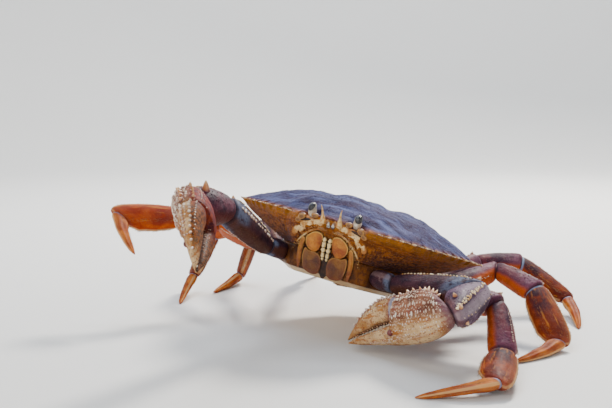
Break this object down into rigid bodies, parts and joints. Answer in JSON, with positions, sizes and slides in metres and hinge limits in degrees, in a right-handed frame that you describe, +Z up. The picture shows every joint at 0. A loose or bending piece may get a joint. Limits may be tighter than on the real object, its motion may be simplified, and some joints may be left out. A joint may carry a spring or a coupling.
{
  "type": "dungeness crab model",
  "caption": "Life-size model of a Dungeness crab standing on its walking legs, one claw raised and one walking leg held out.",
  "frame": {"origin": "on the floor, under the middle of the whole crab's box", "axes": "+Z up; the crab faces -Y and turns about 19 degrees towards -X; its left side is towards +X"},
  "size_m": [0.3388, 0.3444, 0.1121],
  "materials": {
    "shell": "grey-violet shell with fine granules and a damp sheen",
    "underside": "pale cream to amber shell plates",
    "jaw": "amber plates with pale rims",
    "arm": "dark purple-brown shell with pale granules",
    "claw": "ivory shell with rows of pale granules, purple above",
    "leg": "purple-brown shell with pale ridges",
    "foot": "orange shell with cream stripes and brown tips",
    "eye": "glossy dark eye on a cream stalk",
    "feeler": "orange feeler"
  },
  "bodies": {
    "root": {"carapace": "shell", "underbody": "underside", "apron": "underside", "eye_left": "eye", "antenna_left": "feeler", "jaw_left": "jaw", "claw_left_ischium": "arm", "claw_left_merus": "arm", "claw_left_carpus": "arm", "claw_left_palm": "claw", "claw_left_finger": "claw", "leg_2_left_ischium": "leg", "leg_2_left_merus": "leg", "leg_2_left_carpus": "leg", "leg_2_left_propodus": "foot", "leg_2_left_dactyl": "foot", "leg_3_left_ischium": "leg", "leg_3_left_merus": "leg", "leg_3_left_carpus": "leg", "leg_3_left_propodus": "foot", "leg_3_left_dactyl": "foot", "leg_4_left_ischium": "leg", "leg_4_left_merus": "leg", "leg_4_left_carpus": "leg", "leg_4_left_propodus": "foot", "leg_4_left_dactyl": "foot", "leg_5_left_ischium": "leg", "leg_5_left_merus": "leg", "leg_5_left_carpus": "leg", "leg_5_left_propodus": "foot", "leg_5_left_dactyl": "foot", "eye_right": "eye", "antenna_right": "feeler", "jaw_right": "jaw", "claw_right_ischium": "arm", "claw_right_merus": "arm", "claw_right_carpus": "arm", "claw_right_palm": "claw", "claw_right_finger": "claw", "leg_2_right_ischium": "leg", "leg_2_right_merus": "leg", "leg_2_right_carpus": "leg", "leg_2_right_propodus": "foot", "leg_2_right_dactyl": "foot", "leg_3_right_ischium": "leg", "leg_3_right_merus": "leg", "leg_3_right_carpus": "leg", "leg_3_right_propodus": "foot", "leg_3_right_dactyl": "foot", "leg_4_right_ischium": "leg", "leg_4_right_merus": "leg", "leg_4_right_carpus": "leg", "leg_4_right_propodus": "foot", "leg_4_right_dactyl": "foot", "leg_5_right_ischium": "leg", "leg_5_right_merus": "leg", "leg_5_right_carpus": "leg", "leg_5_right_propodus": "foot", "leg_5_right_dactyl": "foot"}
  },
  "joints": []
}
